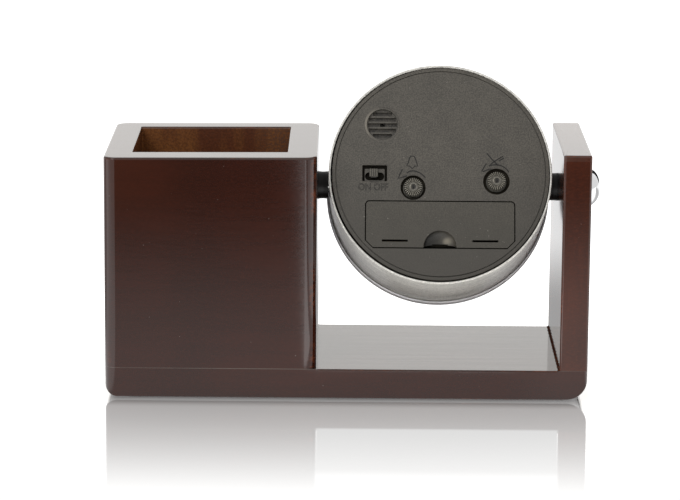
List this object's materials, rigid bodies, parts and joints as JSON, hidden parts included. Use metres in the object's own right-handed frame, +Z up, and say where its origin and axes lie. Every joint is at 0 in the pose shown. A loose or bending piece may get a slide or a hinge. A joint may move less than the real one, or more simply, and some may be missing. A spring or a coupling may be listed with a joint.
{
  "type": "desk clock",
  "caption": "Round alarm clock that tilts between a wooden pen box and an upright board, with battery door, setting knobs and slide switch on its rear cover.",
  "frame": {"origin": "centre of the felt's underside, where the clock stands on the desk", "axes": "+Z up, -Y the way the dial faces, +X from the clock towards the pen box"},
  "size_m": [0.2025, 0.078, 0.1322],
  "materials": {
    "lacquered_wood": "dark stain under gloss lacquer",
    "beech": "raw",
    "felt": "felt",
    "black_plastic": "moulded",
    "steel": "plated",
    "fibre": "pressed fibre",
    "chrome": "mirror polish",
    "brushed_aluminium": "brushed around the tube",
    "polished_aluminium": "satin",
    "clear_lens": "clear",
    "dial_ring_plastic": "painted",
    "dial_paint": "white paint",
    "cover_plastic": "fine moulded grain",
    "knob_plastic": "moulded",
    "battery_jacket": "printed sleeve",
    "board_laminate": "solder mask",
    "movement_plastic": "moulded",
    "yellow_plastic": "moulded",
    "orange_plastic": "moulded",
    "brass": "turned",
    "copper_winding": "enamelled wire",
    "magnet": "sintered",
    "red_paint": "paint",
    "black_paint": "paint"
  },
  "bodies": {
    "stand": {"base_board": "lacquered_wood", "base_felt": "felt", "box_rear_wall": "lacquered_wood", "box_front_wall": "lacquered_wood", "box_outer_wall": "lacquered_wood", "box_inner_wall": "lacquered_wood", "upright_board": "lacquered_wood", "upright_dowel_1": "beech", "upright_dowel_2": "beech", "pivot_bush_box": "black_plastic", "pivot_bush_upright": "black_plastic", "pivot_screw_box": "steel", "pivot_screw_upright": "steel", "pivot_washer_box": "fibre", "pivot_washer_upright": "fibre", "pivot_nut_box": "steel", "pivot_nut_upright": "steel", "chrome_dome": "chrome"},
    "clock_case": {"case_drum": "brushed_aluminium", "front_bezel": "polished_aluminium", "lens": "clear_lens", "dial_ring": "dial_ring_plastic", "dial": "dial_paint", "rear_cover": "cover_plastic", "battery": "battery_jacket", "negative_spring": "steel", "positive_contact": "steel", "sounder": "black_plastic", "circuit_board": "board_laminate", "quartz_crystal": "steel", "alarm_switch": "steel", "movement_case": "movement_plastic", "middle_plate": "movement_plastic", "movement_rear_plate": "movement_plastic", "movement_screw_1": "steel", "movement_screw_2": "steel", "centre_nut": "brass", "stator": "steel", "coil": "copper_winding"},
    "battery_door": {"battery_door": "cover_plastic"},
    "switch_slider": {"switch_slider": "cover_plastic"},
    "alarm_knob": {"alarm_knob": "knob_plastic", "alarm_setting_arbor": "movement_plastic"},
    "time_knob": {"time_knob": "knob_plastic", "time_setting_arbor": "movement_plastic"},
    "alarm_indicator": {"alarm_hand": "red_paint", "alarm_wheel": "orange_plastic"},
    "hour_indicator": {"hour_hand": "black_paint", "hour_wheel": "movement_plastic"},
    "minute_indicator": {"minute_hand": "black_paint", "cannon_pinion": "brass"},
    "second_indicator": {"second_hand": "black_paint", "second_wheel": "movement_plastic"},
    "motion_wheel": {"motion_wheel": "movement_plastic"},
    "centre_wheel": {"centre_wheel": "yellow_plastic"},
    "third_wheel": {"third_wheel": "movement_plastic"},
    "fifth_wheel": {"fifth_wheel": "movement_plastic"},
    "rotor": {"rotor": "magnet"}
  },
  "joints": [
    {"name": "clock_tilt", "type": "hinge", "parent": "stand", "child": "clock_case", "pos_m": [-0.0377, 0, 0.0815], "axis": [1, 0, 0], "continuous": true},
    {"name": "battery_door_hinge", "type": "hinge", "parent": "clock_case", "child": "battery_door", "pos_m": [-0.0377, 0.02501, 0.07991], "axis": [1, 0, 0], "range_deg": [0, 75]},
    {"name": "switch_slide", "type": "slide", "parent": "clock_case", "child": "switch_slider", "axis": [1, 0, 0], "range_m": [-0.002, 0]},
    {"name": "alarm_knob_turn", "type": "hinge", "parent": "clock_case", "child": "alarm_knob", "pos_m": [-0.0267, 0.0022, 0.07632], "axis": [0, -0.9205, -0.3907], "continuous": true},
    {"name": "time_knob_turn", "type": "hinge", "parent": "clock_case", "child": "time_knob", "pos_m": [-0.0605, 0.00111, 0.07889], "axis": [0, -0.9205, -0.3907], "continuous": true},
    {"name": "alarm_hand_turn", "type": "hinge", "parent": "clock_case", "child": "alarm_indicator", "pos_m": [-0.0377, 0, 0.0815], "axis": [0, -0.9205, -0.3907], "continuous": true},
    {"name": "hour_hand_turn", "type": "hinge", "parent": "clock_case", "child": "hour_indicator", "pos_m": [-0.0377, 0, 0.0815], "axis": [0, -0.9205, -0.3907], "continuous": true},
    {"name": "minute_hand_turn", "type": "hinge", "parent": "clock_case", "child": "minute_indicator", "pos_m": [-0.0377, 0, 0.0815], "axis": [0, -0.9205, -0.3907], "continuous": true},
    {"name": "second_hand_turn", "type": "hinge", "parent": "clock_case", "child": "second_indicator", "pos_m": [-0.0377, 0, 0.0815], "axis": [0, -0.9205, -0.3907], "continuous": true},
    {"name": "motion_wheel_turn", "type": "hinge", "parent": "clock_case", "child": "motion_wheel", "pos_m": [-0.04953, -0.00079, 0.08336], "axis": [0, -0.9205, -0.3907], "continuous": true},
    {"name": "centre_wheel_turn", "type": "hinge", "parent": "clock_case", "child": "centre_wheel", "pos_m": [-0.0377, 0, 0.0815], "axis": [0, -0.9205, -0.3907], "continuous": true},
    {"name": "third_wheel_turn", "type": "hinge", "parent": "clock_case", "child": "third_wheel", "pos_m": [-0.03134, -0.00249, 0.08736], "axis": [0, -0.9205, -0.3907], "continuous": true},
    {"name": "fifth_wheel_turn", "type": "hinge", "parent": "clock_case", "child": "fifth_wheel", "pos_m": [-0.04406, -0.00249, 0.08736], "axis": [0, -0.9205, -0.3907], "continuous": true},
    {"name": "rotor_turn", "type": "hinge", "parent": "clock_case", "child": "rotor", "pos_m": [-0.05096, -0.00296, 0.08848], "axis": [0, -0.9205, -0.3907], "continuous": true}
  ],
  "couplings": [
    {"joint": "alarm_knob_turn", "follows": "alarm_hand_turn", "ratio": -3},
    {"joint": "motion_wheel_turn", "follows": "minute_hand_turn", "ratio": -0.33333},
    {"joint": "hour_hand_turn", "follows": "minute_hand_turn", "ratio": 0.083333},
    {"joint": "time_knob_turn", "follows": "minute_hand_turn", "ratio": 1},
    {"joint": "fifth_wheel_turn", "follows": "second_hand_turn", "ratio": -6},
    {"joint": "rotor_turn", "follows": "second_hand_turn", "ratio": 30},
    {"joint": "third_wheel_turn", "follows": "second_hand_turn", "ratio": -0.13333},
    {"joint": "centre_wheel_turn", "follows": "second_hand_turn", "ratio": 0.016667}
  ]
}
